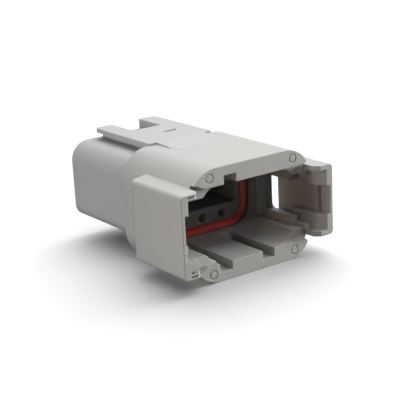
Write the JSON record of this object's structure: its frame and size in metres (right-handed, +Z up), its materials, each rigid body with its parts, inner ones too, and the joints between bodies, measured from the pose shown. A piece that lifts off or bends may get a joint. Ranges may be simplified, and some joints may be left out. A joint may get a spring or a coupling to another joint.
{
  "type": "sealed automotive connector",
  "caption": "Rectangular sealed connector housing with open side latch loops, a ring seal round its core, a mounting rail and a wire seal.",
  "frame": {"origin": "centre of the bounding box at the object's bottom", "axes": "-Y is the way the mouth faces, +Y is the wire end, +Z is up through the mounting rail, X is the width over the latch loops"},
  "size_m": [0.0306, 0.0384, 0.0191],
  "materials": {
    "housing": "fine moulded texture",
    "ring_seal": "satin silicone",
    "wire_seal": "satin silicone"
  },
  "bodies": {
    "root": {"housing": "housing", "ring_seal": "ring_seal", "wire_seal": "wire_seal"}
  },
  "joints": []
}
